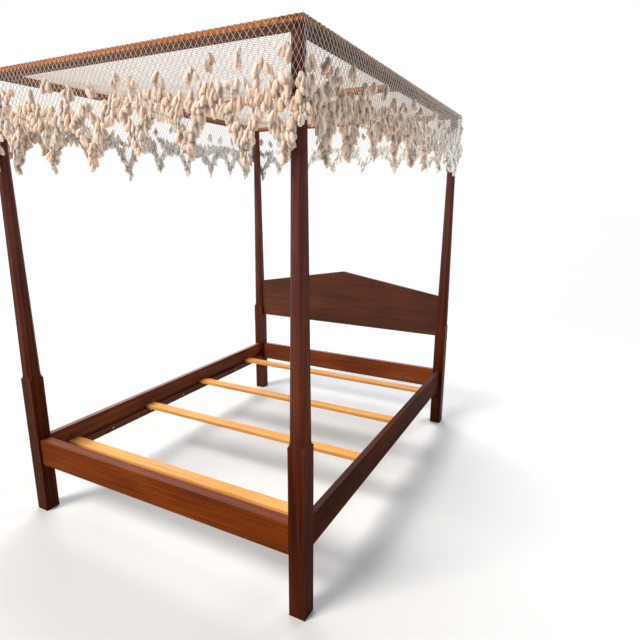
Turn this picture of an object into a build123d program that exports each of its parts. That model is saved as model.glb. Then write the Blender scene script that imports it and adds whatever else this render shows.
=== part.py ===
from build123d import *

from math import cos, radians, sin, sqrt
import os

# Queen-size four poster bed with pencil posts, a peaked headboard, loose slats, and a flat tester
# frame that carries a knotted net canopy with a tasselled valance.
#
# Frame: +X to the bed's right as seen from the foot, +Y from foot to head, +Z up. The origin is on
# the floor at the middle of the bed.

os.makedirs("parts", exist_ok=True)

# Overall sizes, in millimetres
bed_width = 1670  # over the outer faces of the posts
bed_length = 2180
post_size = 73  # square base of a post
post_height = 2184
shoulder_height = 748  # where the square base ends and the eight-sided shaft begins
shoulder_run = 26  # height of the curved stop at the foot of each chamfer
post_top_size = 44
chamfer_share_low = 0.53  # centre to chamfer flat, as a share of the width across the faces
chamfer_share_high = 0.5

# Rails between the posts
rail_thickness = 32  # head rail and side rails
foot_rail_thickness = 52
rail_height = 140
rail_bottom = 273
edge_easing = 2  # rounding of the long edges
tenon_thickness = 14
tenon_length = 31
tenon_shoulder = 20  # rail height left above and below a tenon
glue_gap = 1  # space behind a tenon

# Ledger strips and loose slats
ledger_thickness = 22
ledger_height = 38
ledger_end_gap = 10
slat_thickness = 19
slat_width = 70
slat_end_gap = 3
slat_centres = (-875, -300, 228, 800)  # along the bed

# Headboard panel
headboard_thickness = 22
headboard_bottom = 673
headboard_end_top = 971
headboard_peak = 1100
headboard_tenon_thickness = 10
headboard_tenon_length = 24
headboard_tenon_shoulder = 30

# Tester frame: flat boards on top of the posts
board_width = 89
board_thickness = 19
pin_radius = 4
pin_hole_radius = 4.3
pin_depth = 45  # below the top of the post
pin_rise = 16  # above the top of the post

# Bed rail fasteners, hidden in the joints of the side rails
plate_width = 16
plate_height = 118
plate_thickness = 3
hook_thickness = 3
hook_reach = 13  # from the face of the hook plate
hook_neck = 12
hook_lip = 12
hook_gap = 0.4  # play between a hook's lip and the slot plate
hook_places = (-32, 20)  # underside of each hook's neck, from the middle of the rail
slot_width = 4.4
slot_height = 27
pocket_width = 9
pocket_depth = 14

# Wood screws
shank_radius = 2
head_radius = 4
head_height = 3
plate_screw_length = 26
plate_screw_places = (-53, 1, 53)  # from the middle of the rail, clear of the hooks
ledger_screw_length = 42
ledger_screw_count = 7
ledger_screw_inset = 90  # first and last screw, from the end posts
lap_screw_length = 16

# Canopy: knotted net and its tassels, as plain closed sheets
net_thickness = 2
net_drop = 400  # net below the top of the tester
tassel_thickness = 12
tassel_top = 2120
tassel_bottom = 1760

# Worked out from the sizes above
half_width = bed_width / 2
half_length = bed_length / 2
post_x = half_width - post_size / 2
post_y = half_length - post_size / 2
inner_post_x = half_width - post_size
inner_post_y = half_length - post_size
rail_middle = rail_bottom + rail_height / 2
rail_inner_x = post_x - rail_thickness / 2
ledger_top = rail_bottom + ledger_height
tester_top = post_height + board_thickness
tester_middle = post_height + board_thickness / 2
lap_thickness = board_thickness / 2
tester_x = half_width - board_width / 2
tester_y = half_length - board_width / 2
post_taper = (post_size - post_top_size) / 2 / (post_height - shoulder_height)
headboard_tenon_low = headboard_bottom + headboard_tenon_shoulder
headboard_tenon_high = headboard_end_top - headboard_tenon_shoulder
headboard_tenon_middle = (headboard_tenon_low + headboard_tenon_high) / 2
headboard_tenon_height = headboard_tenon_high - headboard_tenon_low

sides = {"left": -1, "right": 1}
ends = {"foot": -1, "head": 1}
corners = [(side, end) for side in sides.values() for end in ends.values()]

mahogany = (0.24, 0.09, 0.05)
amber_board = (0.40, 0.19, 0.08)
pine = (0.80, 0.56, 0.28)
steel = (0.62, 0.62, 0.64)
cotton = (0.86, 0.80, 0.70)


def save(builder, label, colour):
    """Names a finished piece and writes it as one STEP file."""
    builder.part.label = label
    builder.part.color = Color(*colour)
    export_step(builder.part, f"parts/{label}.step")


def make_screws(planes, length):
    """Countersunk screws, heads flush with the planes, as separate solids of one node."""
    top = (Align.CENTER, Align.CENTER, Align.MAX)
    with BuildPart() as screws:
        with Locations(*planes):
            Cone(shank_radius, head_radius, head_height, align=top)
            Cylinder(shank_radius, length, align=top)
    return screws


def ledger_screw_planes(side):
    """Evenly spaced screw places on the inner face of a ledger."""
    face_x = side * (rail_inner_x - ledger_thickness)
    first = ledger_screw_inset - inner_post_y
    pitch = -2 * first / (ledger_screw_count - 1)
    height = rail_bottom + ledger_height / 2
    return [
        Plane((face_x, first + n * pitch, height), x_dir=(0, 1, 0), z_dir=(-side, 0, 0))
        for n in range(ledger_screw_count)
    ]


def plate_screw_planes(outward):
    """Screw places where the side rails meet the posts.

    outward is 1 for the screws in the rail ends, whose heads face the posts, and -1 for those in
    the posts, whose heads face the rails.
    """
    return [
        Plane(
            (side * post_x, end * inner_post_y, rail_middle + place),
            x_dir=(1, 0, 0),
            z_dir=(0, outward * end, 0),
        )
        for side, end in corners
        for place in plate_screw_places
    ]


def lap_screw_planes():
    """Two screws down into each halved joint, on the diagonal that the pin leaves free."""
    inset = board_width / 4
    planes = []
    for side in sides.values():
        for end in (-1, 0, 1):
            for along in (-inset, inset):
                across = -along * side * end if end else along * side
                place = (side * tester_x + across, end * tester_y + along, tester_top)
                planes.append(Plane(place, x_dir=(1, 0, 0), z_dir=(0, 0, 1)))
    return planes


ledger_screws = {
    side: make_screws(ledger_screw_planes(side), ledger_screw_length) for side in sides.values()
}
hook_plate_screws = make_screws(plate_screw_planes(1), plate_screw_length)
slot_plate_screws = make_screws(plate_screw_planes(-1), plate_screw_length)
lap_screws = make_screws(lap_screw_planes(), lap_screw_length)


def shaft_face(height):
    """Distance from a post's centre to the flat of its tapered shaft at a height."""
    return post_size / 2 - post_taper * (height - shoulder_height)


def make_post(side, end):
    """A post: square base, curved chamfer stops, eight-sided tapered shaft and its mortises."""
    x, y = side * post_x, end * post_y
    base_corner = post_size / sqrt(2)
    flat_low = chamfer_share_low * post_size
    flat_high = chamfer_share_high * post_top_size
    with BuildPart() as post:
        with BuildSketch(Plane((x, y, 0))):
            Rectangle(post_size, post_size)
        extrude(amount=shoulder_height)
        with BuildSketch(Plane((x, y, shoulder_height))):
            Rectangle(post_size, post_size)
        with BuildSketch(Plane((x, y, post_height))):
            Rectangle(post_top_size, post_top_size)
        loft()
        # The four chamfers, each with a hollow stop that dies out on the corner of the base.
        for turn in (45, 135, 225, 315):
            outwards = (cos(radians(turn)), sin(radians(turn)), 0)
            across = (sin(radians(turn)), -cos(radians(turn)), 0)
            with BuildSketch(Plane((x, y, 0), x_dir=outwards, z_dir=across)):
                with BuildLine():
                    stop = Spline(
                        (base_corner, shoulder_height),
                        (flat_low, shoulder_height + shoulder_run),
                        tangents=((-1, 0.35), (-0.05, 1)),
                    )
                    Polyline(
                        stop @ 1,
                        (flat_high, post_height),
                        (post_size, post_height),
                        (post_size, shoulder_height),
                        stop @ 0,
                    )
                make_face()
            extrude(amount=post_size, both=True, mode=Mode.SUBTRACT)
        # Mortise for the foot or head rail.
        mortise = tenon_length + glue_gap
        with Locations((side * (inner_post_x + mortise / 2), y, rail_middle)):
            Box(mortise, tenon_thickness, rail_height - 2 * tenon_shoulder, mode=Mode.SUBTRACT)
        # Slot plate recess and hook pockets for the side rail.
        with Locations((x, end * (inner_post_y + plate_thickness / 2), rail_middle)):
            Box(plate_width, plate_thickness, plate_height, mode=Mode.SUBTRACT)
        pocket_y = end * (inner_post_y + plate_thickness + pocket_depth / 2)
        pocket_low = -hook_lip - glue_gap
        for place in hook_places:
            pocket_middle = rail_middle + place + (pocket_low + slot_height) / 2
            with Locations((x, pocket_y, pocket_middle)):
                Box(pocket_width, pocket_depth, slot_height - pocket_low, mode=Mode.SUBTRACT)
        add(slot_plate_screws.part, mode=Mode.SUBTRACT)
        # Hole for the tester pin.
        with Locations((x, y, post_height - pin_depth / 2)):
            Cylinder(pin_radius, pin_depth, mode=Mode.SUBTRACT)
        # Mortise for the headboard.
        if end == ends["head"]:
            depth = headboard_tenon_length + glue_gap
            with Locations((side * (inner_post_x + depth / 2), y, headboard_tenon_middle)):
                Box(depth, headboard_tenon_thickness, headboard_tenon_height, mode=Mode.SUBTRACT)
    return post


def make_end_rail(end):
    """The foot or head rail, tenoned into its two posts."""
    tenon_span = 2 * (inner_post_x + tenon_length)
    thickness = foot_rail_thickness if end < 0 else rail_thickness
    with BuildPart() as rail:
        with Locations((0, end * post_y, rail_middle)):
            Box(2 * inner_post_x, thickness, rail_height)
        fillet(rail.edges().filter_by(Axis.X), edge_easing)
        with Locations((0, end * post_y, rail_middle)):
            Box(tenon_span, tenon_thickness, rail_height - 2 * tenon_shoulder)
    return rail


def make_side_rail(side):
    """A side rail, recessed at both ends for its hook plates."""
    with BuildPart() as rail:
        with Locations((side * post_x, 0, rail_middle)):
            Box(rail_thickness, 2 * inner_post_y, rail_height)
        fillet(rail.edges().filter_by(Axis.Y), edge_easing)
        recess_y = inner_post_y - plate_thickness / 2
        with Locations(*[(side * post_x, end * recess_y, rail_middle) for end in ends.values()]):
            Box(plate_width, plate_thickness, plate_height, mode=Mode.SUBTRACT)
        add(hook_plate_screws.part, mode=Mode.SUBTRACT)
        add(ledger_screws[side].part, mode=Mode.SUBTRACT)
    return rail


def make_headboard():
    """The peaked panel. Its ends are scribed to the tapered posts and tenoned into them."""
    end_x = post_x - shaft_face(headboard_end_top)
    tenon_span = 2 * (inner_post_x + headboard_tenon_length)
    with BuildPart() as panel:
        with BuildSketch(Plane.XZ.offset(-post_y)):
            with BuildLine():
                Polyline(
                    (0, headboard_bottom),
                    (inner_post_x, headboard_bottom),
                    (inner_post_x, shoulder_height),
                    (end_x, headboard_end_top),
                    (0, headboard_peak),
                    close=True,
                )
            make_face()
            mirror(about=Plane.YZ)
        extrude(amount=headboard_thickness / 2, both=True)
        fillet(panel.edges().filter_by(lambda edge: edge.length > inner_post_x / 2), edge_easing)
        with Locations((0, post_y, headboard_tenon_middle)):
            Box(tenon_span, headboard_tenon_thickness, headboard_tenon_height)
    return panel


def make_ledger(side):
    """A strip along the foot of a side rail, on which the slats rest."""
    x = side * (rail_inner_x - ledger_thickness / 2)
    with BuildPart() as ledger:
        with Locations((x, 0, rail_bottom + ledger_height / 2)):
            Box(ledger_thickness, 2 * (inner_post_y - ledger_end_gap), ledger_height)
        top_edges = ledger.edges().filter_by(Axis.Y).group_by(Axis.Z)[-1]
        fillet(top_edges.sort_by(Axis((0, 0, 0), (side, 0, 0)))[0], edge_easing)
        add(ledger_screws[side].part, mode=Mode.SUBTRACT)
    return ledger


def make_slat(centre_y):
    """A loose pine slat with eased long edges."""
    with BuildPart() as slat:
        with Locations((0, centre_y, ledger_top + slat_thickness / 2)):
            Box(2 * (rail_inner_x - slat_end_gap), slat_width, slat_thickness)
        fillet(slat.edges().filter_by(Axis.X), edge_easing)
    return slat


def make_hook_plates():
    """Plates let into the ends of the side rails, each with two hooks that drop into slots."""
    with BuildPart() as plates:
        plate_y = inner_post_y - plate_thickness / 2
        with Locations(*[(side * post_x, end * plate_y, rail_middle) for side, end in corners]):
            Box(plate_width, plate_thickness, plate_height)
        for side, end in corners:
            face = end * inner_post_y
            lip = end * (inner_post_y + plate_thickness + hook_gap)
            tip = end * (inner_post_y + hook_reach)
            with BuildSketch(Plane.YZ.offset(side * post_x)):
                for place in hook_places:
                    neck = rail_middle + place
                    with BuildLine():
                        Polyline(
                            (face, neck),
                            (lip, neck),
                            (lip, neck - hook_lip),
                            (tip, neck - hook_lip),
                            (tip, neck + hook_neck),
                            (face, neck + hook_neck),
                            close=True,
                        )
                    make_face()
            extrude(amount=hook_thickness / 2, both=True)
        add(hook_plate_screws.part, mode=Mode.SUBTRACT)
    return plates


def make_slot_plates():
    """Plates let into the posts, each with two slots whose lower edges carry the hooks."""
    with BuildPart() as plates:
        plate_y = inner_post_y + plate_thickness / 2
        with Locations(*[(side * post_x, end * plate_y, rail_middle) for side, end in corners]):
            Box(plate_width, plate_thickness, plate_height)
        for place in hook_places:
            slot_middle = rail_middle + place + slot_height / 2
            with Locations(*[(side * post_x, end * plate_y, slot_middle) for side, end in corners]):
                Box(slot_width, plate_thickness, slot_height, mode=Mode.SUBTRACT)
        add(slot_plate_screws.part, mode=Mode.SUBTRACT)
    return plates


def make_tester_pins():
    """Steel pins in the tops of the posts, over which the tester frame drops."""
    middle = post_height + (pin_rise - pin_depth) / 2
    with BuildPart() as pins:
        with Locations(*[(side * post_x, end * post_y, middle) for side, end in corners]):
            Cylinder(pin_radius, pin_depth + pin_rise)
        fillet(pins.edges().filter_by(GeomType.CIRCLE).group_by(Axis.Z)[-1], pin_radius / 4)
    return pins


def cut_pin_holes():
    """Cuts the clearance holes for the pins from the board that is being built."""
    with Locations(*[(side * post_x, end * post_y, tester_middle) for side, end in corners]):
        Cylinder(pin_hole_radius, 2 * board_thickness, mode=Mode.SUBTRACT)


def make_tester_side(side):
    """A full-length tester board. Its halved ends lie over the boards at the head and foot."""
    under_lap = post_height + lap_thickness / 2
    upper_lap = tester_top - lap_thickness / 2
    with BuildPart() as board:
        with Locations((side * tester_x, 0, tester_middle)):
            Box(board_width, bed_length, board_thickness)
        with Locations(*[(side * tester_x, end * tester_y, under_lap) for end in ends.values()]):
            Box(board_width, board_width, lap_thickness, mode=Mode.SUBTRACT)
        # Housing for the cross board, open at the top.
        with Locations((side * tester_x, 0, upper_lap)):
            Box(board_width, board_width, lap_thickness, mode=Mode.SUBTRACT)
        cut_pin_holes()
        add(lap_screws.part, mode=Mode.SUBTRACT)
    return board


def make_tester_cross(centre_y, lap_height, across_laps):
    """A tester board from side to side, halved at both ends where it meets the side boards."""
    with BuildPart() as board:
        with Locations((0, centre_y, tester_middle)):
            Box(bed_width, board_width, board_thickness)
        with Locations(*[(side * tester_x, centre_y, lap_height) for side in sides.values()]):
            Box(board_width, board_width, lap_thickness, mode=Mode.SUBTRACT)
        if across_laps:
            cut_pin_holes()
        add(lap_screws.part, mode=Mode.SUBTRACT)
    return board


def make_canopy_sheet(low, high):
    """A plain closed sheet between two corners, for a part of the net or a row of tassels."""
    size = Vector(*high) - Vector(*low)
    middle = (Vector(*high) + Vector(*low)) / 2
    with BuildPart() as sheet:
        with Locations(middle):
            Box(size.X, size.Y, size.Z)
    return sheet


def hanging_corners(name, gap, thickness, bottom, top):
    """Opposite corners of a sheet that hangs a gap outside one side of the tester."""
    inner_x, inner_y = half_width + gap, half_length + gap
    if name in sides:
        near, far = sorted((sides[name] * inner_x, sides[name] * (inner_x + thickness)))
        return (near, -inner_y, bottom), (far, inner_y, top)
    near, far = sorted((ends[name] * inner_y, ends[name] * (inner_y + thickness)))
    return (-inner_x, near, bottom), (inner_x, far, top)


# Bedstead
for end_name, end in ends.items():
    for side_name, side in sides.items():
        save(make_post(side, end), f"{end_name}_post_{side_name}", mahogany)
    save(make_end_rail(end), f"{end_name}_rail", mahogany)
for side_name, side in sides.items():
    save(make_side_rail(side), f"side_rail_{side_name}", mahogany)
    save(make_ledger(side), f"ledger_{side_name}", mahogany)
    save(ledger_screws[side], f"ledger_screws_{side_name}", steel)
save(make_headboard(), "headboard_panel", mahogany)
for number, centre in enumerate(slat_centres, start=1):
    save(make_slat(centre), f"slat_{number}", pine)

# Hidden fasteners of the side rails
save(make_hook_plates(), "rail_hook_plates", steel)
save(make_slot_plates(), "post_slot_plates", steel)
save(hook_plate_screws, "hook_plate_screws", steel)
save(slot_plate_screws, "slot_plate_screws", steel)

# Tester frame
save(make_tester_pins(), "tester_pins", steel)
for side_name, side in sides.items():
    save(make_tester_side(side), f"tester_board_{side_name}", amber_board)
for end_name, end in ends.items():
    board = make_tester_cross(end * tester_y, tester_top - lap_thickness / 2, True)
    save(board, f"tester_board_{end_name}", amber_board)
middle_board = make_tester_cross(0, post_height + lap_thickness / 2, False)
save(middle_board, "tester_board_middle", amber_board)
save(lap_screws, "tester_lap_screws", steel)

# Canopy
net_edge = (half_width + net_thickness, half_length + net_thickness)
top_net = make_canopy_sheet(
    (-net_edge[0], -net_edge[1], tester_top),
    (net_edge[0], net_edge[1], tester_top + net_thickness),
)
save(top_net, "canopy_net_top", cotton)
for name in (*ends, *sides):
    net = hanging_corners(name, 0, net_thickness, tester_top - net_drop, tester_top)
    save(make_canopy_sheet(*net), f"valance_net_{name}", cotton)
    tassels = hanging_corners(name, net_thickness, tassel_thickness, tassel_bottom, tassel_top)
    save(make_canopy_sheet(*tassels), f"valance_tassels_{name}", cotton)
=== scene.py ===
import bpy
import math
import numpy as np
from mathutils import Matrix, Vector, noise


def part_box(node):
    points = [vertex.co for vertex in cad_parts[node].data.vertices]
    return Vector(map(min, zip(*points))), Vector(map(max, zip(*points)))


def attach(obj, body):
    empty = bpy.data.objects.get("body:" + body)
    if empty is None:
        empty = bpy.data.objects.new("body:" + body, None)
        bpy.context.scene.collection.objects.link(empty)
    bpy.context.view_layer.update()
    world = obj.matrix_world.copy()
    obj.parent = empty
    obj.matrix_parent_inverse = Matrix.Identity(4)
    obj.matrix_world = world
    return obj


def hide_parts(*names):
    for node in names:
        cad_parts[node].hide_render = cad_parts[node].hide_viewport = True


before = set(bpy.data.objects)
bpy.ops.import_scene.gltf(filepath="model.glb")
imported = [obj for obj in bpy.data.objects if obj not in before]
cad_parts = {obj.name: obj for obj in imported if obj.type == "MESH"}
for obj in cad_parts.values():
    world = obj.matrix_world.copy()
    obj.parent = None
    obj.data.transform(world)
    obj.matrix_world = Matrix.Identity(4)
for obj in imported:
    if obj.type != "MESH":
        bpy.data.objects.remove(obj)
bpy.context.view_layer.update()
scene = bpy.context.scene
print("frame loaded,", len(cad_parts), "nodes")


def wire(tree, source, target):
    tree.links.new(source, target)


# an input is set to its value, or wired when the value is another node's output
def feed(tree, node, inputs):
    for key, value in inputs.items():
        if isinstance(value, bpy.types.NodeSocket):
            wire(tree, value, node.inputs[key])
        else:
            node.inputs[key].default_value = value


def addNode(tree, kind, inputs=None, **settings):
    node = tree.nodes.new(kind)
    for key, value in settings.items():
        setattr(node, key, value)
    feed(tree, node, inputs or {})
    return node


def newMaterial(name):
    material = bpy.data.materials.new(name)
    material.use_nodes = True
    tree = material.node_tree
    shader = next(node for node in tree.nodes if node.type == "BSDF_PRINCIPLED")
    return material, tree, shader


def mathNode(tree, operation, a, b=None, clamp=False):
    inputs = {0: a} if b is None else {0: a, 1: b}
    return addNode(tree, "ShaderNodeMath", inputs, operation=operation, use_clamp=clamp).outputs[0]


def mixColour(tree, factor, first, second):
    first, second = ((*c, 1) if isinstance(c, tuple) else c for c in (first, second))
    return addNode(tree, "ShaderNodeMix", {0: factor, 6: first, 7: second}, data_type="RGBA").outputs[2]


def rampNode(tree, factor, stops):
    node = addNode(tree, "ShaderNodeValToRGB", {0: factor})
    elements = node.color_ramp.elements
    while len(elements) < len(stops):
        elements.new(0.5)
    for element, (position, colour) in zip(elements, stops):
        element.position = position
        element.color = (*colour, 1)
    return node.outputs[0]


def noiseNode(tree, vector, scale, detail=3, roughness=0.5, distortion=0):
    return addNode(tree, "ShaderNodeTexNoise", {
        "Scale": scale, "Detail": detail, "Roughness": roughness,
        "Distortion": distortion, "Vector": vector,
    }).outputs[0]


def bumpNode(tree, height, strength, distance):
    return addNode(tree, "ShaderNodeBump", {"Strength": strength, "Distance": distance, "Height": height})


def scaled(colour, factor):
    return tuple(min(0.95, channel * factor) for channel in colour)


# the place is in metres, the turns in degrees, the lens and the sensor in millimetres
view = {
    "place": (1.6660, -2.5785, 1.6560),
    "turnLeft": 27.312,
    "lookUp": -13.438,
    "tilt": 0.283,
    "lens": 28.543,
    "sensor": 36,
    "clipEnd": 200,
}


def makeCamera():
    camera = bpy.data.objects.new("camera", bpy.data.cameras.new("camera"))
    scene.collection.objects.link(camera)
    camera.data.sensor_width = view["sensor"]
    camera.data.lens = view["lens"]
    camera.data.clip_end = view["clipEnd"]
    yaw, pitch, roll = (math.radians(view[key]) for key in ("turnLeft", "lookUp", "tilt"))
    forward = Vector((
        -math.sin(yaw) * math.cos(pitch),
        math.cos(yaw) * math.cos(pitch),
        math.sin(pitch),
    ))
    right = Vector((math.cos(yaw), math.sin(yaw), 0))
    up = right.cross(forward)
    sideways = right * math.cos(roll) + up * math.sin(roll)
    upwards = up * math.cos(roll) - right * math.sin(roll)
    turned = Matrix((sideways, upwards, -forward)).transposed()
    camera.matrix_world = Matrix.Translation(view["place"]) @ turned.to_4x4()
    scene.camera = camera


lighting = {
    "key": {
        "from": (-0.42, -0.78, 1.02),
        "softness": 24,
        "strength": 4.3,
        "colour": (1.0, 0.93, 0.84),
    },
    "back": {
        "from": (-0.75, 1.0, 0.75),
        "softness": 50,
        "strength": 3.3,
        "colour": (0.97, 0.99, 1.0),
    },
    "lampDistance": 4,
    "side": {
        "place": (2.3, 3.2, 3.0),
        "target": (0.85, 0.9, 2.0),
        "size": 1.5,
        "power": 85,
        "colour": (1.0, 1.0, 1.0),
    },
    "skyColour": (0.92, 0.96, 1.0),
    "skyStrength": 0.24,
    "seenColour": (1, 1, 1, 1),
    "seenStrength": 1,
}


def makeLights():
    for name in ("key", "back"):
        lamp = bpy.data.objects.new(name + "Light", bpy.data.lights.new(name + "Light", "SUN"))
        lamp.data.angle = math.radians(lighting[name]["softness"])
        lamp.data.energy = lighting[name]["strength"]
        lamp.data.color = lighting[name]["colour"]
        lamp.rotation_euler = Vector(lighting[name]["from"]).to_track_quat("Z", "Y").to_euler()
        lamp.location = Vector(lighting[name]["from"]) * lighting["lampDistance"]
        scene.collection.objects.link(lamp)
    world = bpy.data.worlds.new("sky")
    world.use_nodes = True
    scene.world = world
    tree = world.node_tree
    back = next(node for node in tree.nodes if node.type == "BACKGROUND")
    feed(tree, back, {0: (*lighting["skyColour"], 1), 1: lighting["skyStrength"]})
    # what stands behind the bed is plain white, and the light that it gives is softer
    seen = addNode(tree, "ShaderNodeBackground", {0: lighting["seenColour"], 1: lighting["seenStrength"]})
    rays = addNode(tree, "ShaderNodeLightPath")
    choose = addNode(tree, "ShaderNodeMixShader", {
        0: rays.outputs["Is Camera Ray"], 1: back.outputs[0], 2: seen.outputs[0],
    })
    output = next(node for node in tree.nodes if node.type == "OUTPUT_WORLD")
    wire(tree, choose.outputs[0], output.inputs[0])
    scene.view_settings.view_transform = "Standard"


# a soft panel beyond the head of the bed, on its right
def makePanel():
    side = lighting["side"]
    panel = bpy.data.objects.new("sidePanel", bpy.data.lights.new("sidePanel", "AREA"))
    panel.data.shape = "DISK"
    panel.data.size = side["size"]
    panel.data.energy = side["power"]
    panel.data.color = side["colour"]
    panel.location = side["place"]
    aim = Vector(side["place"]) - Vector(side["target"])
    panel.rotation_euler = aim.to_track_quat("Z", "Y").to_euler()
    scene.collection.objects.link(panel)


ground = {
    "colour": (0.55, 0.56, 0.575),
    "mottleTone": 0.985,
    "mottleScale": 3,
    "roughness": 0.9,
    "reach": 60,
}


def makeFloor():
    mesh = bpy.data.meshes.new("floor")
    reach = ground["reach"]
    corners = [(-reach, -reach, 0), (reach, -reach, 0), (reach, reach, 0), (-reach, reach, 0)]
    mesh.from_pydata(corners, [], [(0, 1, 2, 3)])
    floor = bpy.data.objects.new("floor", mesh)
    scene.collection.objects.link(floor)
    material, tree, shader = newMaterial("paleFloor")
    coords = addNode(tree, "ShaderNodeTexCoord")
    mottle = noiseNode(tree, coords.outputs["Object"], ground["mottleScale"])
    darker = scaled(ground["colour"], ground["mottleTone"])
    feed(tree, shader, {
        "Base Color": mixColour(tree, mottle, ground["colour"], darker),
        "Roughness": ground["roughness"],
    })
    floor.data.materials.append(material)


makeCamera()
makeLights()
makePanel()
makeFloor()
print("camera, light and floor ready")


# widths and heights are in metres; a painted sky sheen and the low colour, a painted shade, are mixed in
# by how high a place is
stain = {
    "deep": (0.030, 0.0052, 0.0018),
    "body": (0.088, 0.0175, 0.0042),
    "warm": (0.165, 0.038, 0.0085),
    "worn": (0.26, 0.085, 0.030),
    "wearWidth": 0.0022,
    "softEdge": 0.0016,
    "gloss": 0.46,
    "wideFacesUnshaded": 1.0,
    # painted reflection: a pinkish grey sky sheen, mixed in on faces that look up and high on a post
    "paintedSkySheen": (0.29, 0.20, 0.27),
    "paintedSkySheenShare": 0.085,
    "paintedSkySheenFrom": 0.6,
    "paintedSkySheenOnTop": 0.05,
    # painted shade: a near-black mixed in low on a post, most strongly at the floor
    "low": (0.004, 0.0008, 0.0004),
    "floorShadeShare": 0.40,
    "fadePerMetre": 1.1,
}
# the foot rail is the most amber of the boards
amberStain = {
    **stain,
    "deep": (0.034, 0.0064, 0.0010),
    "body": (0.088, 0.0168, 0.0018),
    "warm": (0.150, 0.034, 0.0030),
}
testerStain = {
    "deep": (0.17, 0.048, 0.013),
    "body": (0.38, 0.122, 0.033),
    "warm": (0.56, 0.205, 0.060),
    "worn": (0.60, 0.26, 0.09),
    "wearWidth": 0.0018,
    "softEdge": 0.0012,
    "gloss": 0.62,
    # painted shade: the wide faces of the tester boards are mostly painted over with a dark tone
    "wideFacesUnshaded": 0.22,
}
pine = {
    "deep": (0.37, 0.140, 0.022),
    "body": (0.60, 0.265, 0.049),
    "warm": (0.69, 0.340, 0.084),
    "worn": (0.75, 0.47, 0.20),
    "wearWidth": 0.0015,
    "softEdge": 0.0015,
    "gloss": 0.6,
    "wideFacesUnshaded": 1.0,
}
grainTurn = {"x": (0, math.pi / 2, 0), "y": (math.pi / 2, 0, 0), "z": (0, 0, 0)}
# a layer's scale is across the grain, and lengthways is what part of it runs along the grain
grain = {
    "rings": {
        "lengthways": 0.10, "scale": 22, "distortion": 3.4, "detail": 3, "detailScale": 0.9,
        "share": 0.12,
    },
    "streaks": {"lengthways": 0.022, "scale": 95, "detail": 5, "roughness": 0.62, "share": 0.60},
    "fibres": {"lengthways": 0.012, "scale": 620, "detail": 3, "roughness": 0.6, "share": 0.20},
    "clouds": {
        "lengthways": 0.3, "scale": 5.5, "detail": 2, "roughness": 0.5, "distortion": 0.4,
        "share": 0.55,
    },
    "pores": {"lengthways": 0.02, "scale": 900, "detail": 1, "roughness": 0.4, "share": 0.35},
    "poresAbove": 0.63,
    "toneShift": 0.24,
    "toneStops": (0.27, 0.49, 0.72),
    "flatAbove": 0.7,
    "paintedShadeTone": 0.2,
    "edgeGain": 5,
    "patchScale": 26,
    "patchDetail": 4,
    "patchFrom": 0.42,
    "patchGain": 3.2,
    "wearShare": 0.55,
    "wearRoughness": 0.3,
    "roughSpread": 0.22,
    "bump": 0.35,
    "bumpDepth": 0.0006,
    "poreDepth": -0.6,
    "edgeSamples": 4,
}


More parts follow.
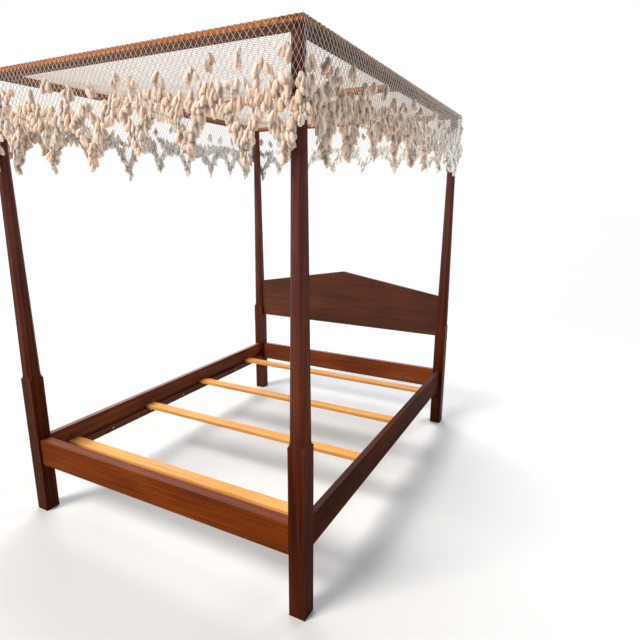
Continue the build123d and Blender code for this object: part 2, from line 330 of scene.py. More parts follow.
# the grain of a board runs along its own z after the Mapping node has turned it
# depth makes one board lighter or darker than the next, and shine is how much polish it has
def grainedWood(name, tones, along, depth, shine, shift):
    material, tree, shader = newMaterial(name)
    coords = addNode(tree, "ShaderNodeTexCoord")
    turn = addNode(tree, "ShaderNodeMapping", {
        "Rotation": grainTurn[along], "Location": shift, "Vector": coords.outputs["Object"],
    })

    def times(a, b, clamp=False):
        return mathNode(tree, "MULTIPLY", a, b, clamp)

    def plus(a, b, clamp=False):
        return mathNode(tree, "ADD", a, b, clamp)

    def stretched(layer):
        return addNode(tree, "ShaderNodeMapping", {
            "Scale": (1, 1, grain[layer]["lengthways"]), "Vector": turn.outputs[0],
        }).outputs[0]

    def noiseLayer(layer):
        given = grain[layer]
        return noiseNode(
            tree, stretched(layer), given["scale"], given["detail"], given["roughness"],
            given.get("distortion", 0),
        )

    # growth rings, seen as long wandering lines on the faces
    rings = addNode(tree, "ShaderNodeTexWave", {
        "Scale": grain["rings"]["scale"], "Distortion": grain["rings"]["distortion"],
        "Detail": grain["rings"]["detail"], "Detail Scale": grain["rings"]["detailScale"],
        "Vector": stretched("rings"),
    }, wave_type="RINGS", rings_direction="Z", wave_profile="SAW")
    streaks = noiseLayer("streaks")
    fibres = noiseLayer("fibres")
    clouds = noiseLayer("clouds")
    pores = mathNode(tree, "GREATER_THAN", noiseLayer("pores"), grain["poresAbove"])

    pattern = times(rings.outputs["Fac"], grain["rings"]["share"])
    for layer, value in (("streaks", streaks), ("fibres", fibres), ("clouds", clouds)):
        pattern = plus(pattern, times(value, grain[layer]["share"]))
    pattern = mathNode(tree, "SUBTRACT", pattern, grain["toneShift"])
    stops = zip(grain["toneStops"], ("deep", "body", "warm"))
    colour = rampNode(tree, pattern, [(stop, scaled(tones[tone], depth)) for stop, tone in stops])
    colour = mixColour(tree, times(pores, grain["pores"]["share"]), colour, tones["deep"])

    # painted shade: the flat faces of a board, its top and underside, can be darker than its edges
    surface = addNode(tree, "ShaderNodeNewGeometry").outputs["True Normal"]
    facing = addNode(tree, "ShaderNodeSeparateXYZ", {0: surface}).outputs["Z"]
    wide = mathNode(tree, "GREATER_THAN", mathNode(tree, "ABSOLUTE", facing), grain["flatAbove"])
    darker = scaled(tones["deep"], grain["paintedShadeTone"] * depth)
    colour = mixColour(tree, times(wide, 1 - tones["wideFacesUnshaded"]), colour, darker)

    # painted reflection: faces that look up get a little painted sky sheen
    if "paintedSkySheenOnTop" in tones:
        flat = mathNode(tree, "GREATER_THAN", facing, grain["flatAbove"])
        colour = mixColour(tree, times(flat, tones["paintedSkySheenOnTop"]), colour, tones["paintedSkySheen"])

    # painted shade and sheen: a post is painted darker near the floor and gets a painted sky sheen towards
    # the top
    if along == "z":
        place = addNode(tree, "ShaderNodeSeparateXYZ", {0: coords.outputs["Object"]}).outputs["Z"]
        low = mathNode(tree, "SUBTRACT", 1, times(place, tones["fadePerMetre"]), clamp=True)
        high = mathNode(tree, "SUBTRACT", place, tones["paintedSkySheenFrom"])
        high = times(high, tones["fadePerMetre"], clamp=True)
        colour = mixColour(tree, times(low, tones["floorShadeShare"]), colour, tones["low"])
        colour = mixColour(tree, times(high, tones["paintedSkySheenShare"]), colour, tones["paintedSkySheen"])

    # worn edges: where a rounded normal leaves the face's own one
    rounded = addNode(
        tree, "ShaderNodeBevel", {"Radius": tones["wearWidth"]}, samples=grain["edgeSamples"],
    )
    dot = addNode(
        tree, "ShaderNodeVectorMath", {0: rounded.outputs[0], 1: surface}, operation="DOT_PRODUCT",
    )
    edge = mathNode(tree, "SUBTRACT", 1, dot.outputs["Value"])
    edge = times(edge, grain["edgeGain"], clamp=True)
    patches = noiseNode(tree, coords.outputs["Object"], grain["patchScale"], grain["patchDetail"])
    patches = mathNode(tree, "SUBTRACT", patches, grain["patchFrom"])
    patches = times(patches, grain["patchGain"], clamp=True)
    wear = times(times(edge, patches), grain["wearShare"])

    rough = plus(times(streaks, grain["roughSpread"]), tones["gloss"] - grain["roughSpread"] / 2)
    rough = plus(rough, times(wear, grain["wearRoughness"]), clamp=True)
    soft = addNode(tree, "ShaderNodeBevel", {"Radius": tones["softEdge"]}, samples=grain["edgeSamples"])
    height = plus(fibres, times(pores, grain["poreDepth"]))
    bump = bumpNode(tree, height, grain["bump"], grain["bumpDepth"])
    wire(tree, soft.outputs[0], bump.inputs["Normal"])
    feed(tree, shader, {
        "Base Color": mixColour(tree, wear, colour, tones["worn"]),
        "Roughness": rough,
        "Specular IOR Level": shine,
        "Normal": bump.outputs[0],
    })
    return material


zinc = {
    "tones": ((0.46, 0.46, 0.47), (0.66, 0.65, 0.62)),
    "spotScale": 160,
    "spotDetail": 4,
    "brushScale": 2400,
    "brushDetail": 2,
    "lengthways": 0.05,
    "roughness": 0.22,
    "roughSpread": 0.3,
    "bump": 0.2,
    "bumpDepth": 0.0003,
}


def brushedSteel(name):
    material, tree, shader = newMaterial(name)
    coords = addNode(tree, "ShaderNodeTexCoord").outputs["Object"]
    brush = addNode(tree, "ShaderNodeMapping", {"Scale": (1, 1, zinc["lengthways"]), "Vector": coords})
    lines = noiseNode(tree, brush.outputs[0], zinc["brushScale"], zinc["brushDetail"])
    spots = noiseNode(tree, coords, zinc["spotScale"], zinc["spotDetail"])
    rough = mathNode(tree, "MULTIPLY", lines, zinc["roughSpread"])
    feed(tree, shader, {
        "Base Color": mixColour(tree, spots, *zinc["tones"]),
        "Metallic": 1,
        "Roughness": mathNode(tree, "ADD", rough, zinc["roughness"]),
        "Normal": bumpNode(tree, lines, zinc["bump"], zinc["bumpDepth"]).outputs[0],
    })
    return material


def finishNode(name, material):
    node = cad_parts[name]
    if not node.material_slots:
        node.data.materials.append(material)
    for slot in node.material_slots:
        slot.material = material


# tones, grain direction, depth of the stain, polish
woodPieces = {
    "foot_post_left": (stain, "z", 0.82, 0.03), "foot_post_right": (stain, "z", 0.78, 0.02),
    "head_post_left": (stain, "z", 0.85, 0.10), "head_post_right": (stain, "z", 0.80, 0.04),
    "foot_rail": (amberStain, "x", 1.40, 0.02), "head_rail": (stain, "x", 1.45, 0.12),
    "side_rail_left": (stain, "y", 1.5, 0.12), "side_rail_right": (stain, "y", 0.55, 0.01),
    "ledger_left": (stain, "y", 1.1, 0.16), "ledger_right": (stain, "y", 0.9, 0.16),
    "headboard_panel": (stain, "x", 0.85, 0.32),
    "slat_1": (pine, "x", 1.0, 0.2), "slat_2": (pine, "x", 0.94, 0.2),
    "slat_3": (pine, "x", 0.97, 0.2), "slat_4": (pine, "x", 0.9, 0.2),
    "tester_board_left": (testerStain, "y", 0.75, 0.12),
    # painted shade: the tester's right board gets a low depth, which darkens it
    "tester_board_right": (testerStain, "y", 0.35, 0.12),
    "tester_board_foot": (testerStain, "x", 1.0, 0.12),
    "tester_board_head": (testerStain, "x", 0.8, 0.12),
    "tester_board_middle": (testerStain, "x", 1.0, 0.12),
}
for count, (name, (tones, along, depth, shine)) in enumerate(woodPieces.items()):
    boardShift = (0.37 + 0.61 * count, 0.83 - 0.29 * count, 1.7 * count)
    finishNode(name, grainedWood("wood_" + name, tones, along, depth, shine, boardShift))
steelMaterial = brushedSteel("zincSteel")
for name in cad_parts:
    if "screws" in name or "plates" in name or "pins" in name:
        finishNode(name, steelMaterial)
print("wood and steel finished")



# the outline of the tester, taken from its boards
boards = [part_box("tester_board_" + side) for side in ("left", "right", "foot", "head", "middle")]
halfWidth = boards[1][1].x
halfLength = boards[3][1].y
testerTop = boards[0][1].z
boardWidth = boards[1][1].x - boards[1][0].x

# lengths are in metres, and a wobble's scale is in waves per metre
net = {
    "meshWidth": 0.0257,
    "rowDrop": 0.0183,
    "yarn": {"top": 0.00115, "hanging": 0.0012},
    "yarnSides": 4,
    "knot": {"top": 0.0016, "hanging": 0.0021},
    "lift": 0.0014,
    "sag": 0.030,
    "sagPower": (2.4, 2.0),
    "slack": 0.004,
    "slackScale": 7,
    "slackPower": 6,
    "wander": 0.0022,
    "driftScale": 3.5,
    "fineScale": 60,
    "stillEdge": 0.06,
    "sameKnot": 0.0004,
    "seed": 11,
}
valance = {
    "footColumns": 65,
    "sideColumns": 85,
    "tipRow": 20,
    "valleyRow": 13,
    "cornerGaps": {"end": (0.068, 0.155), "side": (0.138, 0.192)},
    "tipSpacing": 0.258,
    "cornerExtra": 2,
    "shorterAtHead": 3,
    "hang": 0.004,
    "looseFrom": 0.25,
    "wave": 0.008,
    "waveHeight": 0.004,
    "waveScale": 5.5,
    "waveDrop": 0.6,
    "flare": 0.006,
    "sidewaysShare": 2.2,
    "fineShare": 0.7,
    "fineScale": 55,
    "fineFrom": 0.04,
    "fineOut": 0.001,
    "bunch": 0.55,
    "bunchReach": 0.10,
    "bunchDepth": 0.42,
    "cornerTurn": 0.03,
    "rowsOnTop": 2,
    "onTopLift": 0.0008,
    "edgeLift": -0.0012,
    "pinch": 0.55,
    "pinchPower": 0.7,
    "stretch": 0.016,
    "stretchPower": 2,
}


def makeTree(name, sockets):
    tree = bpy.data.node_groups.new(name, "GeometryNodeTree")
    tree.interface.new_socket("Geometry", in_out="INPUT", socket_type="NodeSocketGeometry")
    for label, kind in sockets:
        tree.interface.new_socket(label, in_out="INPUT", socket_type="NodeSocket" + kind)
    tree.interface.new_socket("Geometry", in_out="OUTPUT", socket_type="NodeSocketGeometry")
    return tree, tree.nodes.new("NodeGroupInput").outputs, tree.nodes.new("NodeGroupOutput")


# runs a tree on a piece and leaves a plain mesh
def growWith(piece, tree, values):
    modifier = piece.modifiers.new(tree.name, "NODES")
    modifier.node_group = tree
    inputs = [item for item in tree.interface.items_tree if item.in_out == "INPUT"]
    sockets = {item.name: item.identifier for item in inputs}
    for label, value in values.items():
        modifier[sockets[label]] = value
    graph = bpy.context.evaluated_depsgraph_get()
    grown = bpy.data.meshes.new_from_object(piece.evaluated_get(graph), depsgraph=graph)
    piece.modifiers.clear()
    piece.data = grown
    grown.calc_loop_triangles()
    print(piece.name, "has", len(grown.loop_triangles), "triangles")


def meshPiece(name, points, edges=()):
    mesh = bpy.data.meshes.new(name)
    mesh.from_pydata([tuple(p) for p in points], [tuple(e) for e in edges], [])
    piece = bpy.data.objects.new(name, mesh)
    scene.collection.objects.link(piece)
    return piece


# without a seed of its own this noise would start from the clock
noise.seed_set(net["seed"])


def wobble(a, b, c, scale):
    return noise.noise_vector(Vector((a, b, c)) * scale)


# strands of yarn, with a small ball for a knot where they meet
def knottedNetTree():
    tree, given, result = makeTree("knottedNet", [
        ("Yarn Radius", "Float"), ("Yarn Sides", "Int"),
        ("Knot Radius", "Float"), ("Yarn Material", "Material"),
    ])
    strands = addNode(tree, "GeometryNodeMeshToCurve", {"Mesh": given["Geometry"]})
    section = addNode(tree, "GeometryNodeCurvePrimitiveCircle", {
        "Radius": given["Yarn Radius"], "Resolution": given["Yarn Sides"],
    })
    tubes = addNode(tree, "GeometryNodeCurveToMesh", {
        "Curve": strands.outputs[0], "Profile Curve": section.outputs[0], "Fill Caps": True,
    })
    merged = addNode(tree, "GeometryNodeMergeByDistance", {
        0: given["Geometry"], "Distance": net["sameKnot"],
    })
    ball = addNode(tree, "GeometryNodeMeshUVSphere", {
        "Segments": 4, "Rings": 2, "Radius": given["Knot Radius"],
    })
    spin = addNode(
        tree, "FunctionNodeRandomValue", {"Max": (3.1, 3.1, 3.1), "Seed": net["seed"]},
        data_type="FLOAT_VECTOR",
    )
    knots = addNode(tree, "GeometryNodeInstanceOnPoints", {
        "Points": merged.outputs[0], "Instance": ball.outputs[0], "Rotation": spin.outputs[0],
    })
    joined = addNode(tree, "GeometryNodeJoinGeometry")
    wire(tree, tubes.outputs[0], joined.inputs[0])
    wire(tree, knots.outputs[0], joined.inputs[0])
    plain = addNode(tree, "GeometryNodeRealizeInstances", {0: joined.outputs[0]})
    smooth = addNode(tree, "GeometryNodeSetShadeSmooth", {0: plain.outputs[0]})
    dressed = addNode(tree, "GeometryNodeSetMaterial", {
        0: smooth.outputs[0], "Material": given["Yarn Material"],
    })
    wire(tree, dressed.outputs[0], result.inputs[0])
    return tree


yarnLook = {
    "tones": ((0.62, 0.50, 0.43), (0.68, 0.60, 0.54)),
    "toneScale": 4.5,
    "toneDetail": 2,
    "dark": (0.40, 0.31, 0.25),
    "darkShare": 0.4,
    "fuzz": (700, 3, 0.6),
    "roughness": 0.95,
    "sheen": 0.2,
    "shine": 0.15,
    "twistScale": 170,
    "twistBend": 1.5,
    "bump": 0.5,
    "bumpDepth": 0.0004,
}


def yarnMaterial():
    material, tree, shader = newMaterial("cottonYarn")
    coords = addNode(tree, "ShaderNodeTexCoord").outputs["Object"]
    fuzz = noiseNode(tree, coords, *yarnLook["fuzz"])
    age = noiseNode(tree, coords, yarnLook["toneScale"], yarnLook["toneDetail"])
    tone = mixColour(tree, age, *yarnLook["tones"])
    darker = mathNode(tree, "MULTIPLY", fuzz, yarnLook["darkShare"])
    twist = addNode(tree, "ShaderNodeTexWave", {
        "Scale": yarnLook["twistScale"], "Distortion": yarnLook["twistBend"], "Vector": coords,
    }, wave_type="BANDS", bands_direction="DIAGONAL")
    bump = bumpNode(tree, twist.outputs["Fac"], yarnLook["bump"], yarnLook["bumpDepth"])
    feed(tree, shader, {
        "Base Color": mixColour(tree, darker, tone, yarnLook["dark"]),
        "Roughness": yarnLook["roughness"],
        "Sheen Weight": yarnLook["sheen"],
        "Specular IOR Level": yarnLook["shine"],
        "Normal": bump.outputs[0],
    })
    return material


netTree = knottedNetTree()
cottonYarn = yarnMaterial()


# strand number row zigzags between that row of knots and the next one
def strandKnots(row, columns):
    return [(half, row + (half + row) % 2) for half in columns]


def growNet(piece, kind):
    growWith(piece, netTree, {
        "Yarn Radius": net["yarn"][kind], "Yarn Sides": net["yarnSides"],
        "Knot Radius": net["knot"][kind], "Yarn Material": cottonYarn,
    })
    return piece


def makeTopNet():
    columns = valance["footColumns"]
    rows = 2 * round(halfLength / net["rowDrop"])
    stepX = halfWidth / columns
    stepY = 2 * halfLength / rows
    bayX = halfWidth - boardWidth
    bayMiddle = halfLength / 2
    bayY = bayMiddle - 0.75 * boardWidth

    def place(half, row):
        x = -halfWidth + half * stepX
        y = -halfLength + row * stepY
        still = net["stillEdge"]
        edge = min(1, (halfWidth - abs(x)) / still) * min(1, (halfLength - abs(y)) / still)
        drift = wobble(x, y, net["seed"], net["driftScale"]) * net["wander"] * 2 * edge
        fine = wobble(x, y, 5, net["fineScale"]) * net["wander"] * 0.5 * edge
        acrossX = min(1, abs(x) / bayX)
        acrossY = min(1, abs(abs(y) - bayMiddle) / bayY)
        powerX, powerY = net["sagPower"]
        dip = net["sag"] * (1 - acrossX ** powerX) * (1 - acrossY ** powerY)
        slack = net["slack"] * wobble(x, y, 9, net["slackScale"]).z
        slack = slack * (1 - acrossX ** net["slackPower"]) * (1 - acrossY ** net["slackPower"])
        z = testerTop + net["lift"] - dip + slack
        return (x + drift.x + fine.x, y + drift.y + fine.y, z)

    points, edges = [], []
    for row in range(rows):
        for half, knotRow in strandKnots(row, range(2 * columns + 1)):
            if half:
                edges.append((len(points) - 1, len(points)))
            points.append(place(half, knotRow))
    return growNet(meshPiece("canopyTopNet", points, edges), "top")


# the hanging net runs once round the tester: foot, right, head, left, in even columns
ringColumns = 2 * (valance["footColumns"] + valance["sideColumns"])
sideLengths = (2 * halfWidth, 2 * halfLength, 2 * halfWidth, 2 * halfLength)
sideColumnCounts = (valance["footColumns"], valance["sideColumns"]) * 2
sideNames = ("foot", "right", "head", "left")
sideStarts = (
    (-halfWidth, -halfLength), (halfWidth, -halfLength),
    (halfWidth, halfLength), (-halfWidth, halfLength),
)
sideRuns = ((1, 0), (0, 1), (-1, 0), (0, -1))


# which side a half column is on, and how far along that side it is
def sideOf(half):
    half %= 2 * ringColumns
    for side, count in enumerate(sideColumnCounts):
        if half < 2 * count:
            return side, half / (2 * count) * sideLengths[side]
        half -= 2 * count


def tipsAlong(side):
    kind = "end" if side % 2 == 0 else "side"
    first, second = valance["cornerGaps"][kind]
    free = sideLengths[side] - 2 * (first + second)
    count = round(free / valance["tipSpacing"])
    inner = [first + second + free * n / count for n in range(count + 1)]
    return [first, *inner, sideLengths[side] - first]


def towardsHead(side, along):
    return max(0, (sideStarts[side][1] + sideRuns[side][1] * along) / halfLength)


rng = np.random.default_rng(net["seed"])
tips = []
for side in range(4):
    along = tipsAlong(side)
    for distance in along:
        # the points beside a corner post hang lowest, and all get shorter towards the head
        atCorner = distance in (along[0], along[-1])
        extra = valance["cornerExtra"] if atCorner else int(rng.integers(0, 2))
        extra -= round(valance["shorterAtHead"] * towardsHead(side, distance))
        tips.append((sum(sideLengths[:side]) + distance, extra))
ringLength = sum(sideLengths)


def ringDistance(half):
    side, along = sideOf(half)
    return sum(sideLengths[:side]) + along


# how far the nearest point of the scalloped edge is, how deep that point hangs, and on which side
def nearestTip(half):
    here = ringDistance(half)
    gaps = []
    for at, extra in tips:
        signed = (here - at + ringLength / 2) % ringLength - ringLength / 2
        gaps.append((abs(signed), extra, signed))
    return min(gaps)


def lowestRow(half):
    away, extra = nearestTip(half)[:2]
    rows = valance["tipRow"] + extra - away / (net["meshWidth"] / 2)
    valley = valance["valleyRow"] - round(towardsHead(*sideOf(half)))
    return max(valley, round(rows))


lowestRows = [lowestRow(half) for half in range(2 * ringColumns)]


def ringFrame(half, drop):
    side, along = sideOf(half)
    run = sideRuns[side]
    length = sideLengths[side]
    # near a corner the top of the net is bunched up, and it fans out lower down
    fan = min(1, max(0, 1 - drop / valance["bunchDepth"]))
    for corner in (0, length):
        away = along - corner
        along -= valance["bunch"] * fan * away * math.exp(-(away / valance["bunchReach"]) ** 2)
    start = sideStarts[side]
    x = start[0] + run[0] * along
    y = start[1] + run[1] * along
    outwards = Vector((run[1], -run[0], 0))
    # the outward direction turns smoothly round each corner
    nearness = [math.exp(-gap / valance["cornerTurn"]) for gap in (along, length - along)]
    turn = 0.5 * nearness[0] - 0.5 * nearness[1]
    outwards.rotate(Matrix.Rotation(-turn * math.pi / 2, 3, "Z"))
    return Vector((x, y, 0)), outwards, Vector((run[0], run[1], 0))


# the top rows lie on the boards, then the net bends over the edge and hangs
def ringPlace(half, row):
    drop = row * net["rowDrop"]
    if row <= 0:
        return ringOnTop(half, -drop)
    base, outwards, along = ringFrame(half, drop)
    # the points are drawn together and a little longer
    below = max(0, (row - valance["valleyRow"]) / (valance["tipRow"] - valance["valleyRow"]))
    base -= along * nearestTip(half)[2] * valance["pinch"] * below ** valance["pinchPower"]
    drop += valance["stretch"] * below ** valance["stretchPower"]
    loose = min(1, drop / valance["looseFrom"])
    wave = wobble(base.x, base.y, drop * valance["waveDrop"], valance["waveScale"])
    fine = wobble(base.x, base.y, drop, valance["fineScale"])
    out = valance["hang"] + loose * (valance["flare"] + valance["wave"] * wave.x)
    shift = loose * net["wander"] * valance["sidewaysShare"] * wave.y
    shift += net["wander"] * valance["fineShare"] * min(1, drop / valance["fineFrom"]) * fine.x
    place = base + outwards * (out + valance["fineOut"] * fine.y) + along * shift
    place.z = testerTop + net["lift"] - drop + loose * valance["waveHeight"] * wave.z
    return place


def ringOnTop(half, inset):
    base, outwards = ringFrame(half, 0)[:2]
    side = sideOf(half)[0]
    start = Vector((*sideStarts[side], 0))
    straight = Vector((*sideRuns[side], 0))
    inwards = Vector((-sideRuns[side][1], sideRuns[side][0], 0))
    reach = min(max((base - start).dot(straight), inset), sideLengths[side] - inset)
    place = start + straight * reach + inwards * inset
    if inset == 0:
        place += outwards * 0.5 * valance["hang"]
    fine = wobble(place.x, place.y, 3, valance["fineScale"])
    place.x += net["wander"] * 0.5 * fine.x
    place.y += net["wander"] * 0.5 * fine.y
    place.z = testerTop + net["lift"] + (valance["onTopLift"] if inset else valance["edgeLift"])
    return place


def makeHangingNet():
    halves = 2 * ringColumns
    points, edges = [], []
    for row in range(-valance["rowsOnTop"], max(lowestRows)):
        index = {}
        for half, knotRow in strandKnots(row, range(halves)):
            if knotRow <= lowestRows[half]:
                index[half] = len(points)
                points.append(ringPlace(half, knotRow))
        for half, at in index.items():
            after = (half + 1) % halves
            if after in index:
                edges.append((at, index[after]))
    return growNet(meshPiece("canopyHangingNet", points, edges), "hanging")


topNet = makeTopNet()
hangingNet = makeHangingNet()
print("nets knotted")


# soft cotton tufts tied to the knots of the hanging net; rows count from the tester's edge down
tassel = {
    "length": 0.044,
    "lockWidth": 0.0084,
    "lockSides": 5,
    "lockProfile": ((0, 0.36), (0.25, 0.76), (0.50, 1.0), (0.75, 0.97), (1, 0.50)),
    "lockSizes": ((0.8, 0.8, 0.74), (1.25, 1.25, 1.08)),
    "locks": 3,
    "ringRadius": 0.003,
    "splay": 0.11,
    "rings": 5,
    "sizes": ((0.72, 0.72, 0.74), (1.18, 1.18, 1.18)),
    "tilts": ((-1, -1, -9), (1, 1, 9)),
    "lean": 0.34,
    "tuftLean": 0.5,
    "swing": 0.13,
    "outwards": (-0.003, 0.005),
    "ragged": 0.0026,
    "raggedEnds": 2.4,
    "lumpScale": 140,
    "lumpDetail": 2,
    "rowsBelowTip": 1,
    "bandRow": 9,
    "fullRows": 3,
    "denseRows": 5,
    "denseShare": 0.75,
    "patchShare": 0.5,
    "patchStretch": (0.013, 0.02),
    "patchScale": 6,
    "sharePerRow": 0.12,
    "holeWidth": 2.2,
    "holeRows": (3.2, 9.0),
    "tuftRow": 5,
    "tuftOfThree": 0.6,
    "seed": 23,
}


def tasselTree():
    tree, given, result = makeTree("cottonTassels", [
        ("Tassel Length", "Float"), ("Lock Width", "Float"), ("Locks", "Int"), ("Splay", "Float"),
        ("Rings", "Int"), ("Ragged", "Float"), ("Seed", "Int"), ("Cotton Material", "Material"),
    ])

    def times(a, b):
        return mathNode(tree, "MULTIPLY", a, b)

    def keep(name, domain, geometry, value):
        return addNode(
            tree, "GeometryNodeStoreNamedAttribute",
            {"Name": name, "Geometry": geometry, "Value": value}, data_type="FLOAT", domain=domain,
        ).outputs[0]

    def kept(name, kind):
        return addNode(
            tree, "GeometryNodeInputNamedAttribute", {"Name": name}, data_type=kind,
        ).outputs[0]

    def between(limits, **more):
        inputs = {"Min": limits[0], "Max": limits[1], **more}
        return addNode(tree, "FunctionNodeRandomValue", inputs, data_type="FLOAT_VECTOR").outputs[0]

    # one lock of cotton: a line down from the knot, thickened by its profile
    downwards = addNode(tree, "ShaderNodeCombineXYZ", {"Z": times(given["Tassel Length"], -1)})
    line = addNode(tree, "GeometryNodeCurvePrimitiveLine", {"End": downwards.outputs[0]})
    stations = addNode(tree, "GeometryNodeResampleCurve", {
        "Curve": line.outputs[0], "Count": given["Rings"],
    })
    factor = addNode(tree, "GeometryNodeSplineParameter").outputs["Factor"]
    profile = addNode(tree, "ShaderNodeFloatCurve", {"Value": factor})
    outline = profile.mapping.curves[0]
    first, *middle, last = tassel["lockProfile"]
    outline.points[0].location = first
    outline.points[-1].location = last
    for x, y in middle:
        outline.points.new(x, y)
    profile.mapping.update()
    section = addNode(tree, "GeometryNodeCurvePrimitiveCircle", {
        "Radius": 1, "Resolution": tassel["lockSides"],
    })
    lock = addNode(tree, "GeometryNodeCurveToMesh", {
        "Curve": keep("downTassel", "POINT", stations.outputs[0], factor),
        "Profile Curve": keep("roundTassel", "POINT", section.outputs[0], factor),
        "Scale": times(profile.outputs[0], given["Lock Width"]),
        "Fill Caps": True,
    })
    # the locks stand in a small ring under the knot and splay outwards
    ring = addNode(tree, "GeometryNodeMeshCircle", {
        "Radius": tassel["ringRadius"], "Vertices": given["Locks"],
    })
    where = addNode(tree, "GeometryNodeInputPosition")
    apart = addNode(tree, "ShaderNodeSeparateXYZ", {0: where.outputs[0]})
    fromSplay = times(given["Splay"], 1 / tassel["ringRadius"])
    tipOut = addNode(tree, "ShaderNodeCombineXYZ", {
        "X": times(apart.outputs["Y"], fromSplay),
        "Y": times(times(apart.outputs["X"], -1), fromSplay),
    })
    bunch = addNode(tree, "GeometryNodeInstanceOnPoints", {
        "Points": ring.outputs[0], "Instance": lock.outputs[0],
        "Rotation": tipOut.outputs[0], "Scale": between(tassel["lockSizes"]),
    })
    body = addNode(tree, "GeometryNodeRealizeInstances", {0: bunch.outputs[0]})
    # one on every point, each leaning its own way
    tilt = between(tassel["tilts"], Seed=mathNode(tree, "ADD", given["Seed"], 1))
    size = between(tassel["sizes"], Seed=mathNode(tree, "ADD", given["Seed"], 2))
    leaning = addNode(
        tree, "ShaderNodeVectorMath", {0: tilt, "Scale": kept("lean", "FLOAT")}, operation="SCALE",
    )
    turned = addNode(
        tree, "ShaderNodeVectorMath", {0: leaning.outputs[0], 1: kept("bias", "FLOAT_VECTOR")},
        operation="ADD",
    )
    placed = addNode(tree, "GeometryNodeInstanceOnPoints", {
        "Points": given["Geometry"], "Instance": body.outputs[0],
        "Rotation": turned.outputs[0], "Scale": size,
    })
    tint = addNode(tree, "FunctionNodeRandomValue", {"Seed": given["Seed"]}, data_type="FLOAT")
    tinted = keep("tint", "INSTANCE", placed.outputs[0], tint.outputs[1])
    plain = addNode(tree, "GeometryNodeRealizeInstances", {0: tinted})
    # every tuft gets its own lumps, and the cut ends are the most ragged
    lumps = addNode(tree, "ShaderNodeTexNoise", {
        "Scale": tassel["lumpScale"], "Detail": tassel["lumpDetail"],
    })
    centred = addNode(
        tree, "ShaderNodeVectorMath", {0: lumps.outputs["Color"], 1: (0.5, 0.5, 0.5)},
        operation="SUBTRACT",
    )
    grows = addNode(tree, "ShaderNodeMapRange", {
        "To Min": 1, "To Max": tassel["raggedEnds"], "Value": kept("downTassel", "FLOAT"),
    })
    amount = addNode(
        tree, "ShaderNodeVectorMath",
        {0: centred.outputs[0], "Scale": times(given["Ragged"], grows.outputs[0])}, operation="SCALE",
    )
    moved = addNode(tree, "GeometryNodeSetPosition", {
        "Geometry": plain.outputs[0], "Offset": amount.outputs[0],
    })
    smooth = addNode(tree, "GeometryNodeSetShadeSmooth", {0: moved.outputs[0]})
    dressed = addNode(tree, "GeometryNodeSetMaterial", {
        0: smooth.outputs[0], "Material": given["Cotton Material"],
    })
    wire(tree, dressed.outputs[0], result.inputs[0])
    return tree


cotton = {
    "tones": ((0.0, (0.80, 0.53, 0.41)), (0.45, (0.85, 0.61, 0.485)), (1.0, (0.88, 0.69, 0.58))),
    "paintedLight": (0.93, 0.90, 0.85),
    "dark": (0.55, 0.37, 0.27),
    "paintedLightDark": (0.70, 0.66, 0.60),
    "paintedLightPerMetre": {"Y": 0.86, "X": -0.36},
    "paintedLightAtMiddle": 0.45,
    "paintedLightShare": 0.85,
    "threadTurns": 31.42,
    "threadShare": 0.10,
    "threadDepth": 0.4,
    "wiggleScale": 120,
    "wiggleDetail": 2,
    "wiggle": (1.4, 3),
    "fuzz": (330, 4, 0.7),
    "fuzzShare": 0.30,
    "endPower": 4,
    "endShare": 0.25,
    "bump": 0.6,
    "bumpDepth": 0.0013,
    "surface": {
        "Roughness": 1.0,
        "Sheen Weight": 0.25,
        "Sheen Roughness": 0.6,
        "Subsurface Weight": 0.9,
        "Subsurface Radius": (1.0, 0.9, 0.75),
        "Subsurface Scale": 0.022,
        "Specular IOR Level": 0.1,
    },
}


def cottonMaterial():
    material, tree, shader = newMaterial("tuftedCotton")
    coords = addNode(tree, "ShaderNodeTexCoord").outputs["Object"]

    def times(a, b):
        return mathNode(tree, "MULTIPLY", a, b)

    def plus(a, b, clamp=False):
        return mathNode(tree, "ADD", a, b, clamp)

    def stored(name):
        return addNode(tree, "ShaderNodeAttribute", attribute_name=name).outputs["Fac"]

    # painted light: the cotton is painted lighter towards the head of the bed, and on its left, as if more
    # light fell there
    tone = rampNode(tree, stored("tint"), cotton["tones"])
    place = addNode(tree, "ShaderNodeSeparateXYZ", {0: coords})
    paler = [times(place.outputs[axis], share) for axis, share in cotton["paintedLightPerMetre"].items()]
    paintedLight = plus(plus(*paler), cotton["paintedLightAtMiddle"], clamp=True)
    tone = mixColour(tree, times(paintedLight, cotton["paintedLightShare"]), tone, cotton["paintedLight"])
    dark = mixColour(tree, paintedLight, cotton["dark"], cotton["paintedLightDark"])
    # threads run down the tassel
    wiggle = noiseNode(tree, coords, cotton["wiggleScale"], cotton["wiggleDetail"])
    for share in cotton["wiggle"]:
        wiggle = times(wiggle, share)
    turns = times(stored("roundTassel"), cotton["threadTurns"])
    threads = mathNode(tree, "SINE", plus(turns, wiggle))
    fuzz = noiseNode(tree, coords, *cotton["fuzz"])
    shade = times(plus(threads, 1), cotton["threadShare"])
    shade = plus(shade, times(fuzz, cotton["fuzzShare"]))
    tone = mixColour(tree, shade, tone, dark)
    ends = times(mathNode(tree, "POWER", stored("downTassel"), cotton["endPower"]), cotton["endShare"])
    height = plus(times(threads, cotton["threadDepth"]), fuzz)
    feed(tree, shader, {
        "Base Color": mixColour(tree, ends, tone, dark),
        "Normal": bumpNode(tree, height, cotton["bump"], cotton["bumpDepth"]).outputs[0],
        **cotton["surface"],
    })
    return material


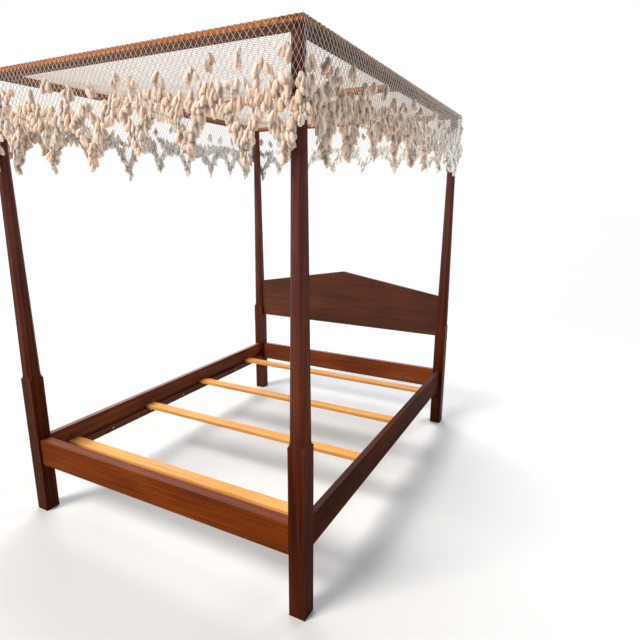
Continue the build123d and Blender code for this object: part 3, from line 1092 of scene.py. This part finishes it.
# how likely a knot of the hanging net is to carry a tassel
def tasselChance(half, row):
    if (half + row) % 2 or row > lowestRows[half] or row < tassel["bandRow"]:
        return 0
    above = lowestRows[half] - row
    if above <= tassel["fullRows"]:
        return 1
    away, extra = nearestTip(half)[:2]
    middleRows = valance["tipRow"] + extra - row
    low, high = tassel["holeRows"]
    reach = tassel["holeWidth"] * (1 - (middleRows - low) / (2 * (high - low)))
    if low < middleRows < high and away / net["meshWidth"] < reach:
        return 0
    if above <= tassel["denseRows"]:
        return tassel["denseShare"]
    stretchHalf, stretchRow = tassel["patchStretch"]
    chance = tassel["patchShare"] + wobble(half * stretchHalf, row * stretchRow, 8, tassel["patchScale"]).x
    chance += tassel["sharePerRow"] * (row - tassel["bandRow"] - 0.5)
    return min(tassel["denseShare"], max(0, chance))


# a lone tuft hangs above every point and between every two
def tuftCentres():
    centres = []
    ordered = sorted(tip[0] for tip in tips)
    for n, at in enumerate(ordered):
        after = ordered[(n + 1) % len(ordered)] + (ringLength if n + 1 == len(ordered) else 0)
        centres += [at, (at + after) / 2]
    return centres


halfPlaces = [ringDistance(half) for half in range(2 * ringColumns)]


# the lone tufts high on the net: two or three tassels on neighbouring knots
def tuftKnots():
    knots = set()
    for centre in tuftCentres():
        row = tassel["tuftRow"] + int(rng.integers(-1, 2))
        half = int(np.argmin([abs(place - centre % ringLength) for place in halfPlaces]))
        half += int(rng.integers(-1, 2))
        half += (half + row) % 2
        options = [(half, row), (half - 1, row + 1), (half + 1, row + 1)]
        for knot in options[: 3 if rng.random() < tassel["tuftOfThree"] else 2]:
            knots.add((knot[0] % (2 * ringColumns), knot[1]))
    return knots


def makeTassels():
    tree = tasselTree()
    material = cottonMaterial()
    lone = tuftKnots()
    groups = {name: {"points": [], "lean": [], "bias": []} for name in sideNames}
    for half in range(2 * ringColumns):
        group = groups[sideNames[sideOf(half)[0]]]
        for row in range(valance["tipRow"] + tassel["rowsBelowTip"] + 1):
            if (half, row) in lone:
                chance, lean = 1, tassel["tuftLean"]
            else:
                chance, lean = tasselChance(half, row), tassel["lean"]
            if rng.random() >= chance:
                continue
            place = ringPlace(half, row)
            outwards = ringFrame(half, row * net["rowDrop"])[1]
            place += outwards * rng.uniform(*tassel["outwards"])
            group["points"].append(place)
            group["lean"].append(lean)
            # the foot of the tassel swings outwards a little, over the one below it
            swing = rng.uniform(0.0, tassel["swing"])
            group["bias"].append((outwards.y * swing, -outwards.x * swing, 0))
    pieces = []
    for name, group in groups.items():
        piece = meshPiece("valanceTassels_" + name, group["points"])
        lean = piece.data.attributes.new("lean", "FLOAT", "POINT")
        lean.data.foreach_set("value", group["lean"])
        bias = piece.data.attributes.new("bias", "FLOAT_VECTOR", "POINT")
        bias.data.foreach_set("vector", np.array(group["bias"], np.float32).ravel())
        print(name, "side has", len(group["points"]), "tassels")
        growWith(piece, tree, {
            "Tassel Length": tassel["length"], "Lock Width": tassel["lockWidth"],
            "Locks": tassel["locks"], "Splay": tassel["splay"],
            "Rings": tassel["rings"], "Ragged": tassel["ragged"],
            "Seed": tassel["seed"] + len(pieces), "Cotton Material": material,
        })
        pieces.append(piece)
    return pieces


tassels = makeTassels()
print("tassels tied")


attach(topNet, "tester")
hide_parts("canopy_net_top")
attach(hangingNet, "tester")
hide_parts("valance_net_foot", "valance_net_head", "valance_net_left", "valance_net_right")
# the cut is as deep as its lowest points, and open yarn is all that the area counts
for name, piece in zip(sideNames, tassels):
    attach(piece, "tester")
    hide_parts("valance_tassels_" + name)

print("pieces on their bodies")
